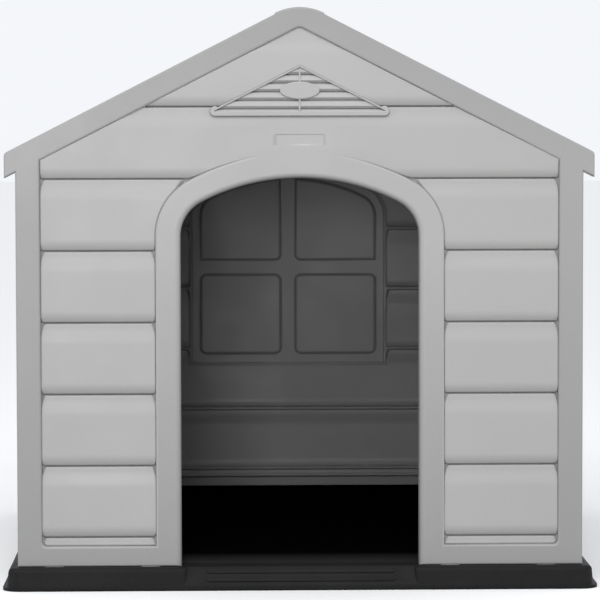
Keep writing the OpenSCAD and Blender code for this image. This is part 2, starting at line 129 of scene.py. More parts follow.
def addPatch(shell, points, faces, normals):
    start = shell["count"]
    shell["points"].append(points)
    shell["faces"] += [[start + i for i in face] for face in faces]
    shell["normals"] += [normal for corner in normals for normal in corner]
    shell["count"] += len(points)


def flatNormal(corners):
    total = np.zeros(3)
    for i in range(1, len(corners) - 1):
        total += np.cross(corners[i] - corners[0], corners[i + 1] - corners[0])
    length = np.linalg.norm(total)
    return total / length if length > 1e-14 else np.array([0.0, 0.0, 1.0])


def addFlat(shell, points, faces):
    points = np.asarray(points, float)
    addPatch(shell, points, faces, [[flatNormal(points[face])] * len(face) for face in faces])


def addObject(name, data):
    added = bpy.data.objects.new(name, data)
    scene.collection.objects.link(added)
    return added


# a finished mesh as a piece of the part, with the value of the painted shade attribute at each point when
# given
def placePiece(name, mesh, material, body, node, shadeValues=None):
    mesh.materials.append(material)
    if shadeValues is not None:
        mesh.attributes.new("paintedShade", "FLOAT", "POINT").data.foreach_set("value", shadeValues.tolist())
    piece = addObject(name, mesh)
    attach(piece, body)
    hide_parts(node)
    print("built", name, len(mesh.polygons), "faces")


# the mesh of a shell, with its points welded and the faces that collapse left out
def makePiece(name, shell, material, body, node, paintedShade=None):
    points = np.vstack(shell["points"])
    rounded, back = np.unique(np.round(points, 6), axis=0, return_inverse=True)
    back = back.reshape(-1)
    faces = []
    normals = []
    used = 0
    for face in shell["faces"]:
        corners = [int(back[i]) for i in face]
        own = shell["normals"][used:used + len(face)]
        used += len(face)
        kept = [k for k in range(len(corners)) if corners[k] != corners[k - 1]]
        if len(set(corners)) < 3 or len(set(corners[k] for k in kept)) != len(kept):
            continue
        faces.append([corners[k] for k in kept])
        normals += [own[k] for k in kept]
    mesh = bpy.data.meshes.new(name)
    mesh.from_pydata(rounded.tolist(), [], faces)
    mesh.polygons.foreach_set("use_smooth", [True] * len(faces))
    mesh.normals_split_custom_set([tuple(n) for n in normals])
    shadeValues = None if paintedShade is None else np.broadcast_to(np.asarray(paintedShade(rounded), float), (len(rounded),))
    placePiece(name, mesh, material, body, node, shadeValues)


# normals before and after each corner of an anticlockwise loop
def outwardFrame(loop):
    step = np.roll(loop, -1, 0) - loop
    step /= np.linalg.norm(step, axis=1)[:, None]
    ahead = np.stack([step[:, 1], -step[:, 0]], 1)
    behind = np.roll(ahead, 1, 0)
    middle = (ahead + behind) / np.linalg.norm(ahead + behind, axis=1)[:, None]
    soft = ((ahead * behind).sum(1) > math.cos(math.radians(34)))[:, None]
    return np.where(soft, middle, behind), np.where(soft, middle, ahead), behind, ahead


# the loop pulled in, by its own distance along each edge
def insetLoop(loop, distance):
    edgeBehind, edgeAhead = outwardFrame(loop)[2:]
    nextD = np.broadcast_to(np.asarray(distance, float), (len(loop),))
    lastD = np.roll(nextD, 1)
    c = np.clip((edgeBehind * edgeAhead).sum(1), -0.95, 0.9999)
    first = ((lastD - c * nextD) / (1 - c * c))[:, None]
    second = ((nextD - c * lastD) / (1 - c * c))[:, None]
    even = ((lastD + nextD) / 2 / (1 + c))[:, None]
    mixed = first * edgeBehind + second * edgeAhead
    return loop - np.where(np.abs(lastD - nextD)[:, None] < 1e-9, even * (edgeBehind + edgeAhead), mixed)


# normals of a row on both sides of its corners, leaning out from the loop and towards the face
def rowNormals(frames, out, front):
    return [np.stack([m[:, 0] * out, np.full(len(m), -front), m[:, 1] * out], 1) for m in frames]


# rows of points in a wall's own frame (across, depth, up) joined by quads
def joinRows(rows, turn, shell):
    for (first, firstBehind, firstAhead), (second, secondBehind, secondAhead) in zip(rows[:-1], rows[1:]):
        n = len(first)
        points = np.vstack([first, second]) @ turn.T / 1000.0
        fb, fa, sb, sa = (m @ turn.T for m in (firstBehind, firstAhead, secondBehind, secondAhead))
        faces = []
        normals = []
        for i in range(n):
            j = (i + 1) % n
            faces.append([i, n + i, n + j, j])
            normals.append([fa[i], sa[i], sb[j], fb[j]])
        addPatch(shell, points, faces, normals)


# the turned-back edge of a wall: rounding from the face, out to its depth and back along the inner side
def edgeRows(loop, radius, depth, base, steps=5):
    frames = outwardFrame(loop)[:2]
    radius = np.broadcast_to(np.asarray(radius, float), (len(loop),))
    cornerR = (radius + np.roll(radius, 1)) / 2
    rows = []

    def row(inset, deep, out, front):
        flat = insetLoop(loop, inset)
        points = np.stack([flat[:, 0], base + np.broadcast_to(deep, (len(loop),)), flat[:, 1]], 1)
        rows.append((points, *rowNormals(frames, out, front)))

    arcs = np.linspace(0, math.pi / 2, steps + 1)
    for a in arcs:
        row(radius * (1 - math.sin(a)), cornerR * (1 - math.cos(a)), math.sin(a), math.cos(a))
    row(0.0, depth - 0.8, 1, 0)
    row(0.8, depth, 0, -1)
    row(sheet - 0.8, depth, 0, -1)
    row(sheet, depth - 0.8, -1, 0)
    inner, cornerIn = radius - sheet, cornerR - sheet
    for a in arcs:
        lean = (1 - math.cos(a), 1 - math.sin(a))
        row(sheet + inner * lean[0], sheet + cornerIn * lean[1], -math.cos(a), -math.sin(a))
    return rows


def insideLoop(points, loop):
    inside = np.zeros(len(points), bool)
    x, z = points[:, 0], points[:, 1]
    ends = np.roll(loop, -1, 0)
    for (ax, az), (bx, bz) in zip(loop, ends):
        if az == bz:
            continue
        crosses = (az > z) != (bz > z)
        inside ^= crosses & (x < (bx - ax) * (z - az) / (bz - az) + ax)
    return inside


# the triangles inside an outline and outside its holes, all turned the same way
def facesWithin(flat, faces, outline, holes, tiny, clockwise=False):
    faces = np.array([list(face) for face in faces])
    centres = flat[faces].mean(1)
    keep = insideLoop(centres, outline)
    for hole in holes:
        keep &= ~insideLoop(centres, hole)
    faces = faces[keep]
    corners = flat[faces]
    area = np.cross(corners[:, 1] - corners[:, 0], corners[:, 2] - corners[:, 0])
    return np.where(((area < 0) != clockwise)[:, None], faces[:, ::-1], faces)[np.abs(area) > tiny]


# thickness of a bent sheet, measured square to its face: the face's height map grown by a ball
def backMap(depthAt, low, high, pace=1.0):
    xs = np.arange(low[0] - 6, high[0] + 6 + pace, pace)
    zs = np.arange(low[1] - 6, high[1] + 6 + pace, pace)
    gx, gz = np.meshgrid(xs, zs, indexing="ij")
    face = depthAt(gx.ravel(), gz.ravel()).reshape(gx.shape)
    back = face + sheet
    reach = int(sheet / pace)
    for dx in range(-reach, reach + 1):
        for dz in range(-reach, reach + 1):
            gap = sheet * sheet - (dx * dx + dz * dz) * pace * pace
            if gap <= 0 or (dx == 0 and dz == 0):
                continue
            back = np.maximum(back, np.roll(face, (dx, dz), (0, 1)) + math.sqrt(gap))

    def backAt(x, z):
        u = np.clip((x - xs[0]) / pace, 0, len(xs) - 1.001)
        v = np.clip((z - zs[0]) / pace, 0, len(zs) - 1.001)
        i, j = u.astype(int), v.astype(int)
        u, v = u - i, v - j
        low2 = back[i, j] * (1 - u) + back[i + 1, j] * u
        high2 = back[i, j + 1] * (1 - u) + back[i + 1, j + 1] * u
        return low2 * (1 - v) + high2 * v

    return backAt


def slopeNormals(depthAt, x, z, step):
    dx = (depthAt(x + step, z) - depthAt(x - step, z)) / (2 * step)
    dz = (depthAt(x, z + step) - depthAt(x, z - step)) / (2 * step)
    normal = np.stack([dx, -np.ones_like(dx), dz], 1)
    return normal / np.linalg.norm(normal, axis=1)[:, None]


# a moulded wall: face and back triangulated over the outline, with feature lines, then its turned-back edge
def addWall(shell, loop, radius, depth, lines, hole, depthAt, base, turn):
    rows = edgeRows(loop, radius, depth, base)
    rim = rows[0][0][:, [0, 2]]
    points = [tuple(p) for p in rim]
    edges = [(i, (i + 1) % len(rim)) for i in range(len(rim))]
    closedLines = [(line, True) for line in lines["closed"]] + [(line, False) for line in lines["open"]]
    holes = [] if hole is None else [hole]
    closedLines += [(line, True) for line in holes]
    for line, isClosed in closedLines:
        start = len(points)
        points += [tuple(p) for p in line]
        edges += [(start + i, start + i + 1) for i in range(len(line) - 1)]
        if isClosed:
            edges.append((start + len(line) - 1, start))
    made = delaunay_2d_cdt([Vector(p) for p in points], edges, [], 0, 1e-3)
    flat = np.array([tuple(v) for v in made[0]])
    for k, sources in enumerate(made[3]):
        early = [s for s in sources if s < len(rim)]
        if early:
            flat[k] = rim[early[0]]
    faces = facesWithin(flat, made[2], rim, holes, 1e-7)
    usedIds = np.unique(faces)
    renumber = np.full(len(flat), -1)
    renumber[usedIds] = np.arange(len(usedIds))
    faces = renumber[faces]
    flat = flat[usedIds]
    x, z = flat[:, 0], flat[:, 1]
    onRim = set(tuple(np.round(p, 4)) for p in rim)
    rimFlag = np.array([tuple(p) in onRim for p in np.round(flat, 4)])
    backAt = backMap(depthAt, flat.min(0), flat.max(0))
    deep = np.where(rimFlag, 0.0, depthAt(x, z))
    deepBack = np.where(rimFlag, sheet, backAt(x, z))
    front = np.stack([x, base + deep, z], 1) @ turn.T / 1000.0
    back = np.stack([x, base + deepBack, z], 1) @ turn.T / 1000.0
    frontNormal = slopeNormals(depthAt, x, z, 0.25) @ turn.T
    backNormal = -slopeNormals(backAt, x, z, 1.0) @ turn.T
    addPatch(shell, front, faces.tolist(), frontNormal[faces])
    addPatch(shell, back, faces[:, ::-1].tolist(), backNormal[faces[:, ::-1]])
    joinRows(rows, turn, shell)
    if hole is not None:
        pairs = {}
        for a, b, c in faces.tolist():
            for edge in ((a, b), (b, c), (c, a)):
                pairs[edge] = True
        for a, b in [e for e in pairs if (e[1], e[0]) not in pairs]:
            if not (rimFlag[a] and rimFlag[b]):
                addFlat(shell, [front[b], front[a], back[a], back[b]], [[0, 1, 2, 3]])


def turnAbout(degrees):
    return np.array(Matrix.Rotation(math.radians(degrees), 3, "Z"))


def setInputs(node, values):
    for name, value in values.items():
        node.inputs[name].default_value = value


# moulded plastic: a base colour with faint mottling, specks, darker patches towards the bottom and a fine
# grain
# a point attribute blends in a darker colour, with its own specular level, as painted shade
def makePlastic(name, look):
    mat = bpy.data.materials.new(name)
    mat.use_nodes = True
    nodes, links = mat.node_tree.nodes, mat.node_tree.links
    shader = nodes["Principled BSDF"]
    coords = nodes.new("ShaderNodeTexCoord")

    def noise(scale, detail, roughness=0.5):
        node = nodes.new("ShaderNodeTexNoise")
        setInputs(node, {"Scale": scale, "Detail": detail, "Roughness": roughness})
        links.new(coords.outputs["Object"], node.inputs["Vector"])
        return node

    # a value spread from one pair of stops to another
    def ramp(source, low, high, stops=(0.35, 0.65)):
        node = nodes.new("ShaderNodeMapRange")
        setInputs(node, {"From Min": stops[0], "From Max": stops[1], "To Min": low, "To Max": high})
        links.new(source, node.inputs["Value"])
        return node.outputs["Result"]

    def blend(factor, first, second, mode="MIX"):
        node = nodes.new("ShaderNodeMix")
        node.data_type = "RGBA"
        node.blend_type = mode
        if isinstance(factor, float):
            node.inputs["Factor"].default_value = factor
        else:
            links.new(factor, node.inputs["Factor"])
        for socketIn, value in ((node.inputs["A"], first), (node.inputs["B"], second)):
            if isinstance(value, tuple):
                socketIn.default_value = value + (1.0,)
            else:
                links.new(value, socketIn)
        return node.outputs["Result"]

    cloud = noise(3.0, 4.0, 0.55)
    speck = noise(260.0, 2.0, 0.6)
    colour = blend(ramp(cloud.outputs["Fac"], 0.0, 1.0), look["colour"], look["mottle"])
    colour = blend(ramp(speck.outputs["Fac"], 0.0, look["speck"], (0.55, 0.75)), colour, look["dust"])
    height = nodes.new("ShaderNodeSeparateXYZ")
    links.new(coords.outputs["Object"], height.inputs["Vector"])
    # darker patches towards the bottom, blended in with the dust colour
    lowDarkeningNoise = noise(14.0, 5.0, 0.65)
    lowDarkening = nodes.new("ShaderNodeMath")
    lowDarkening.operation = "MULTIPLY"
    links.new(ramp(height.outputs["Z"], 1.0, 0.0, (0.0, look["lowDarkeningTop"])), lowDarkening.inputs[0])
    links.new(ramp(lowDarkeningNoise.outputs["Fac"], 0.0, look["lowDarkening"], (0.4, 0.7)), lowDarkening.inputs[1])
    colour = blend(lowDarkening.outputs["Value"], colour, look["dust"])
    # painted shade: the darker colour blended in where the attribute is set
    paintedShade = nodes.new("ShaderNodeAttribute")
    paintedShade.attribute_name = "paintedShade"
    colour = blend(paintedShade.outputs["Fac"], colour, look["frame"])
    links.new(colour, shader.inputs["Base Color"])
    patches = noise(9.0, 3.0)
    links.new(ramp(patches.outputs["Fac"], look["rough"][0], look["rough"][1]), shader.inputs["Roughness"])
    grain = nodes.new("ShaderNodeTexVoronoi")
    grain.feature = "SMOOTH_F1"
    grain.inputs["Scale"].default_value = look["grainScale"]
    links.new(coords.outputs["Object"], grain.inputs["Vector"])
    normal = None
    for source, strength, reach in ((grain.outputs["Distance"], look["grain"], 0.0004),
                                    (noise(5.0, 2.0).outputs["Fac"], look["wave"], 0.004)):
        bump = nodes.new("ShaderNodeBump")
        setInputs(bump, {"Strength": strength, "Distance": reach})
        links.new(source, bump.inputs["Height"])
        if normal is not None:
            links.new(normal, bump.inputs["Normal"])
        normal = bump.outputs["Normal"]
    links.new(normal, shader.inputs["Normal"])
    gloss = ramp(paintedShade.outputs["Fac"], look["specular"], look["frameSpecular"], (0.0, 1.0))
    links.new(gloss, shader.inputs["Specular IOR Level"])
    return mat


greyLook = {
    "colour": (0.379, 0.375, 0.367),  # body of the grey mouldings
    "mottle": (0.362, 0.359, 0.352),  # its faint darker clouds
    "dust": (0.272, 0.268, 0.258),  # specks and the darker patches towards the bottom
    "frame": (0.237, 0.235, 0.231),  # darker grey painted in as shade on the frame, the vent's recesses, roof and ridge
    "speck": 0.10,  # strength of the specks
    "lowDarkening": 0.22,  # strength of the darkening towards the bottom
    "lowDarkeningTop": 0.20,  # height where that darkening ends, in metres
    "rough": (0.35, 0.46),  # range of roughness over its patches
    "grainScale": 520.0,  # fineness of the moulded grain
    "grain": 0.22,  # strength of that grain
    "wave": 0.10,  # strength of the slow waves in the surface
    "specular": 0.48,  # how much the boards reflect
    "frameSpecular": 0.48,  # how much the frame reflects
}
blackLook = {
    "colour": (0.0140, 0.0140, 0.0144),  # body of the black base
    "mottle": (0.0165, 0.0165, 0.0169),
    "dust": (0.040, 0.039, 0.037),
    "frame": (0.0012, 0.0012, 0.0012),  # near-black painted shade for the matt floor inside
    "speck": 0.18,
    "lowDarkening": 0.10,
    "lowDarkeningTop": 0.06,
    "rough": (0.42, 0.56),
    "grainScale": 420.0,
    "grain": 0.35,
    "wave": 0.10,
    "specular": 0.05,
    "frameSpecular": 0.0,
}
pinLook = dict(blackLook, colour=(0.016, 0.016, 0.017), mottle=(0.021, 0.021, 0.022))
pinLook.update(rough=(0.30, 0.42), grain=0.20)
greyPlastic = makePlastic("greyPlastic", greyLook)
blackPlastic = makePlastic("blackPlastic", blackLook)
pinPlastic = makePlastic("pinPlastic", pinLook)
print("materials ready")


def makeGrey(name, node, shell, paintedShade):
    makePiece(name, shell, greyPlastic, "hutch", node, paintedShade)


# an outline in x and z drawn out along the depth between two stops, with softened rims
# a stop may also be a function of x and z
def addBar(shell, loop, low, high, turn, base=0.0, holes=(), soft=0.5, steps=2):
    rims = [[], []]
    for k, outline in enumerate([loop] + list(holes)):
        outline = outline if k == 0 else outline[::-1]
        frames = outwardFrame(outline)[:2]
        rows = []
        for end, way in ((low, 1), (high, -1)):
            stop = end(outline[:, 0], outline[:, 1]) if callable(end) else end
            for a in np.linspace(0, math.pi / 2, steps + 1)[::way]:
                flat = insetLoop(outline, soft * (1 - math.sin(a)))
                deep = np.broadcast_to(base + stop + way * soft * (1 - math.cos(a)), (len(flat),))
                points = np.stack([flat[:, 0], deep, flat[:, 1]], 1)
                rows.append((points, *rowNormals(frames, math.sin(a), way * math.cos(a))))
        joinRows(rows, turn, shell)
        rims[0].append(rows[0][0])
        rims[1].append(rows[-1][0])
    for side, rim in enumerate(rims):
        flats = [r[:, [0, 2]] for r in rim]
        points = [tuple(p) for flat in flats for p in flat]
        edges = []
        for flat in flats:
            start = len(edges)
            edges += [(start + i, start + (i + 1) % len(flat)) for i in range(len(flat))]
        made = delaunay_2d_cdt([Vector(p) for p in points], edges, [], 0, 1e-5)
        flat = np.array([tuple(v) for v in made[0]])
        flat = np.array([points[sources[0]] if sources else tuple(v) for v, sources in zip(flat, made[3])])
        deep = np.concatenate([r[:, 1] for r in rim])[[sources[0] if sources else 0 for sources in made[3]]]
        faces = facesWithin(flat, made[2], flats[0], flats[1:], 1e-9, side == 1)
        solid = np.stack([flat[:, 0], deep, flat[:, 1]], 1) @ turn.T / 1000.0
        facing = turn @ np.array([0.0, -1.0 if side == 0 else 1.0, 0.0])
        addPatch(shell, solid, faces.tolist(), [[facing] * 3] * len(faces))


def boxLoop(x0, x1, z0, z1, r=0.0):
    if r == 0:
        return np.array([[x0, z0], [x1, z0], [x1, z1], [x0, z1]], float)
    return np.vstack([
        arcPoints(x1 - r, z0 + r, r, -90, 0, 5), arcPoints(x1 - r, z1 - r, r, 0, 90, 5),
        arcPoints(x0 + r, z1 - r, r, 90, 180, 5), arcPoints(x0 + r, z0 + r, r, 180, 270, 5)])


def circleLoop(x, z, r, count=40):
    return arcPoints(x, z, r, 0, 360.0 * (count - 1) / count, count - 1)


siding = {
    "lowestGroove": 83.0,  # height of the lowest groove
    "topGroove": 891.5,  # height of the groove under the ridge, which runs out in the corner
    "boardH": 115.5,  # height of one board
    "faceD": 2.0,  # depth of the board faces behind the posts
    "grooveD": 11.0,  # depth of the grooves between the boards
    "grooveHalf": 0.55,  # half height of a groove
    "stripD": 4.3,  # depth of the strip at the top of each board
    "stripH": 7.5,  # height of that strip
    "shoulderH": 26.0,  # height of the soft shoulder under the strip
    "rollH": 19.0,  # height of the rolled lower edge
    "rollD": 5.2,  # depth of that roll at its end
    "endRise": 3.0,  # how far a board's ends drop back at the posts
    "endRun": 2.6,  # length of that drop
    "pocketTop": 690.0,  # pockets lie below this height, where the recess has upright ends
    "pocketD": 11.0,  # depth of the pockets at the boards' rounded corners
    "highCorner": (12.0, 28.0),  # width and height of a board's upper corners
    "lowCorner": (7.0, 12.0),  # width and height of its lower corners
}


# how far a point lies outside the rounded corner of a board
def pastCorner(endS, lineS, corner):
    across = np.clip(1.0 - endS / corner[0], 0.0, None)
    down = np.clip(1.0 - lineS / corner[1], 0.0, None)
    return (np.hypot(across, down) - 1.0) * corner[0]


# how deep the boards lie at height z, with s the distance in from the edge of their recess
def boardDepth(z, s):
    h = siding["boardH"]
    u = np.mod(z - siding["lowestGroove"], h)
    u = np.where(z > siding["topGroove"] - 2.5, h - 3.0, u)
    low = np.clip(1.0 - u / siding["rollH"], 0.0, 1.0)
    shoulder = 1.0 - smooth((h - u - siding["stripH"]) / siding["shoulderH"])
    deep = siding["faceD"] + siding["rollD"] * low ** 2.3 + (siding["stripD"] - siding["faceD"]) * shoulder
    ends = np.clip(1.0 - s / siding["endRun"], 0.0, 1.0)
    deep = deep + siding["endRise"] * (1.0 - np.sqrt(1.0 - ends * ends))
    past = np.maximum(pastCorner(s - 1.0, h - u, siding["highCorner"]),
                      pastCorner(s - 1.0, u, siding["lowCorner"]))
    past = np.where(z > siding["pocketTop"], 0.0, past)
    deep = deep + np.maximum(siding["pocketD"] - deep, 0.0) * smooth(past / 3.0)
    groove = 1.0 - smooth((np.minimum(u, h - u) - siding["grooveHalf"]) / 0.6)
    return deep + np.maximum(siding["grooveD"] - deep, 0.0) * groove


# heights where the boards' section bends, for the lines that shape the mesh
def boardHeights(low, high):
    h, g = siding["boardH"], siding["grooveHalf"]
    nearGroove = [g, g + 0.3, g + 0.6]
    section = [0.0] + nearGroove + [2.5, 4.0, 6.0, 8.5, 11.0, 14.0, 17.0, 20.0, 26.0, 34.0, 46.0, 58.0, 70.0]
    shoulder = [35.0, 31.5, 28.0, 24.5, 21.0, 17.5, 14.0, 10.5, 7.5, 5.0, 3.0]
    section += [h - d for d in shoulder + nearGroove[::-1]]
    heights = []
    k = -1
    while siding["lowestGroove"] + k * h < high:
        heights += [siding["lowestGroove"] + k * h + u for u in section]
        k += 1
    return sorted(z for z in heights if low < z < min(high, siding["topGroove"] + 4.0))


# the small rounding from a flat frame into a recess, s being the distance past its edge
def recessDepth(s, inner, radius=3.2, ramp=0.8):
    ease = np.clip((s + radius) / radius, 0.0, 1.0)
    lip = radius - np.sqrt(np.maximum(radius * radius - (ease * radius) ** 2, 0.0))
    t = np.clip(s / ramp, 0.0, 1.0)
    return np.where(s <= 0.0, lip, lip + (inner - lip) * t)


arch = {
    "springZ": 568.0,  # height where the arches begin
    "haunchR": 62.0,  # radius at the haunches
    "crownR": 345.0,  # radius at the crown
}


def archCrownZ(half):
    reach = arch["crownR"] - arch["haunchR"]
    return arch["springZ"] - math.sqrt(reach ** 2 - (half - arch["haunchR"]) ** 2)


# distance outside an arch of that half width
def archDistance(x, z, half):
    side = np.abs(x)
    hx, crownZ = half - arch["haunchR"], archCrownZ(half)
    overHaunch = np.hypot(side - hx, z - arch["springZ"]) - arch["haunchR"]
    overCrown = np.hypot(side, z - crownZ) - arch["crownR"]
    turnAt = math.atan2(arch["springZ"] - crownZ, hx)
    nearCrown = np.arctan2(z - crownZ, side) > turnAt
    return np.where(z <= arch["springZ"], side - half, np.where(nearCrown, overCrown, overHaunch))


# right half of an arch grown by t, from its foot to its crown
def archHalf(half, t, foot, steps=(10, 16)):
    hx, crownZ = half - arch["haunchR"], archCrownZ(half)
    turnAt = math.degrees(math.atan2(arch["springZ"] - crownZ, hx))
    return np.vstack([
        [[half + t, foot]],
        arcPoints(hx, arch["springZ"], arch["haunchR"] + t, 0, turnAt, steps[0])[:-1],
        arcPoints(0, crownZ, arch["crownR"] + t, turnAt, 90, steps[1])])


def archWidthAt(z, half, t):
    inner = archHalf(half, t, -10.0, (24, 48))
    if z >= inner[-1][1]:
        return 0.0
    return float(np.interp(z, inner[:, 1], inner[:, 0]))


# gable recess between posts, bottom rail and rake boards
def fieldDistance(x, z, cornerR=house["cornerR"], apexR=12.0):
    dx = fieldX - np.abs(x)
    dz = z - railZ
    s = np.minimum(np.minimum(dx, dz), (rakeIn(x) - z) / along)
    corner = cornerR - np.hypot(cornerR - dx, cornerR - dz)
    s = np.where((dx < cornerR) & (dz < cornerR), np.minimum(s, corner), s)
    rise = z - apexZ + apexR * along
    return np.where((rise > 0) & (np.abs(x) < rise * slope), apexR - np.hypot(x, rise), s)


def fieldHalf(s, cornerR=house["cornerR"], apexR=12.0):
    r = max(cornerR - s, 0.0)
    x, z = fieldX - s, railZ + s
    corner = arcPoints(x - r, z + r, r, -90, 0, 5) if r > 0.05 else np.array([[x, z]])
    apex = np.array([[0.0, apexZ - s * along]])
    if s < apexR - 0.05:
        apex = arcPoints(0.0, apexZ - apexR * along, apexR - s, 90 - pitch, 90, 4)
    return np.vstack([corner, [[x, rakeIn(x) - s * along]], apex])


def gableHalf():
    tipX, tipR, capHalf, capR = house["eaveX"], house["tipR"], house["capHalf"], house["capR"]
    tipDrop = tipR * math.tan(math.radians(45 - pitch / 2))
    turnAt = math.degrees(math.acos(capHalf / capR))
    return np.vstack([
        [[postX, ledgeZ], [postX, ledgeZ + 6.0]],
        [[postX, rakeIn(postX)], [tipX, rakeIn(tipX)]],
        arcPoints(tipX - tipR, rakeOut(tipX) - tipDrop, tipR, 0, 90 - pitch, 4),
        [[capHalf + 1.5, rakeOut(capHalf + 1.5)]],
        arcPoints(0, capZ, capR, turnAt, 90, 10)])


ventShape = {
    "half": 136.0,  # half length of the louvred triangle
    "z": 769.0,  # height of its lower edge
    "rim": 8.0,  # width of the rim along its foot and round its ends
    "sideRim": 3.5,  # width of the rim up its slopes
    "lip": 18.0,  # reach of the flange behind the wall
    "back": 16.4,  # depth of that flange
    "pitch": 13.7,  # distance from one louvre to the next
    "ovalHalf": 32.0,  # half width of the blank oval
    "ovalTall": 14.0,  # half height of the blank oval
    "ovalLift": 33.0,  # height of its middle above the vent's lower edge
}


def ventLoop(grow, sideGrow):
    half, z = ventShape["half"], ventShape["z"]
    past = math.degrees(math.acos(min(sideGrow / grow, 1.0)))
    return np.vstack([
        arcPoints(half, z, grow, -90, 90 - pitch + past, 14),
        arcPoints(0, z + half * slope, sideGrow, 90 - pitch, 90 + pitch, 6),
        arcPoints(-half, z, grow, 90 + pitch - past, 270, 14)])


front = {
    "doorHalf": 192.0,  # half the clear width of the doorway
    "surround": 40.0,  # width of the raised surround
    "doorRound": 9.0,  # rounding of the doorway's edge
    "outerRound": 3.0,  # rounding of the outline's edge
    "jambD": 30.0,  # depth of the doorway's turned-back edge
    "footD": 26.0,  # depth of the edge that stands on the base
    "tabIn": 20.0,  # from the posts to the outer tabs' middles
    "tabBeside": 10.0,  # from the surround to the inner tabs' middles
    "plateHalf": 39.5,  # half width of the blank plate
    "plateH": 18.5,  # height of the blank plate
    "plateGap": 12.0,  # distance from the surround to the plate
    "plateD": 1.1,  # depth of the plate's recess
    "flushAcross": (50.0, 165.0),  # over the crown the board runs out flush, up to these half widths
    "flushRise": (80.0, 90.0),  # heights above the spring of the arch where that begins
    "flushReach": (4.0, 48.0),  # distances from the surround over which it fades
    # distances in from the edge of a recess where the mesh follows its outline
    "ringSteps": (-6.5, -4.6, -3.2, -2.2, -1.1, -0.3, 0.0, 0.8, 1.8, 3.0, 4.5, 6.2, 8.5, 11.5, 16.0),
}


# level lines across a recess
# above fineZ they are cut into short lengths, to follow the flush board over the arch
def levelLines(heights, reach, inner, fineZ=2000.0, pace=9.0):
    lines = []
    for z in heights:
        outside, inside = reach(z), inner(z)
        if outside - inside < 2.0:
            continue
        stops = {inside, outside}
        if z > fineZ:
            stops |= {x for x in np.arange(0.0, 180.0, pace) if inside + 2 < x < outside - 2}
        right = np.array([[x, z] for x in sorted(stops)])
        if inside <= 0.0:
            lines.append(np.vstack([mirrorX(right), right[1:]]))
        else:
            lines += [right, mirrorX(right)]
    return lines


def gableReach(z, s=0.8):
    return min(fieldX - s, (apexZ - z - s * along) / slope)


# each socket is a short tube behind the face, closed by a plate with a slot for the pin's hammer
socket = {
    "outerR": 12.5,  # outside of the tube
    "boreR": 9.5,  # inside of the tube
    "endD": 27.0,  # depth of the end plate's far side
    "plate": 3.0,  # thickness of the end plate
    "slotHalf": 3.8,  # half width of the slot
    "slotReach": 8.1,  # half length of the slot
}


def slotLoop(x, z):
    h = socket["slotReach"] - socket["slotHalf"]
    return np.vstack([arcPoints(x, z + h, socket["slotHalf"], 0, 180, 8),
                      arcPoints(x, z - h, socket["slotHalf"], 180, 360, 8)])


def pinMiddle(node):
    low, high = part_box(node)
    return (low.x + high.x) * 500, (low.z + high.z) * 500


def pinPlaces(end):
    places = []
    for node in sorted(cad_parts):
        if node.startswith("pin_") and "_" + end in node:
            places.append(pinMiddle(node))
    return places


# tabs that stand in the base's slots, under a wall whose face lies at the given depth
def addTabs(shell, places, turn, face):
    half = house["tabHalf"]
    for x in places:
        tab = boxLoop(x - half, x + half, ledgeZ - house["tabDrop"], ledgeZ + 0.6)
        addBar(shell, tab, 1.6, sheet, turn, face, (), 0.3)


def addGableFittings(shell, end, tabs, turn, depthAt):
    tubeEnd = socket["endD"] - socket["plate"]
    for x, z in pinPlaces(end):
        tube, bore = circleLoop(x, z, socket["outerR"]), circleLoop(x, z, socket["boreR"])
        addBar(shell, tube, lambda px, pz: depthAt(px, pz) + 1.0, tubeEnd + 0.4, turn, -wallY, [bore], 0.2)
        addBar(shell, tube, tubeEnd, socket["endD"], turn, -wallY, [slotLoop(x, z)], 0.4)
    addTabs(shell, tabs, turn, -wallY)


# painted shade on the smooth frame round the boards: how far its colour darkens, with its specular level
frameShade = {
    "all": 0.33,  # everywhere on the posts, rails and rake boards
    "low": 0.40,  # more painted shade towards the ground
    "lowTop": 620.0,  # height where that ends
    "high": 0.35,  # more painted shade towards the ridge, on the rake boards
    "highFrom": (600.0, 940.0),  # heights over which that grows
    "edge": (0.0, 2.5),  # distances outside the recess over which the frame begins
}


# painted shade on the frame outside a recess, heavier towards the ground
def frameShadeAt(fromField, z):
    low = smooth(1.0 - z / frameShade["lowTop"])
    return fade(-fromField, frameShade["edge"]) * (frameShade["all"] + frameShade["low"] * low)


# painted shade on a gable end's frame, heavier towards the ground and the ridge
def gableShadeAt(points):
    x, z = points[:, 0] * 1000, points[:, 2] * 1000
    fromField = fieldDistance(x, z)
    high = frameShade["high"] * fade(z, frameShade["highFrom"])
    return frameShadeAt(fromField, z) + fade(-fromField, frameShade["edge"]) * high


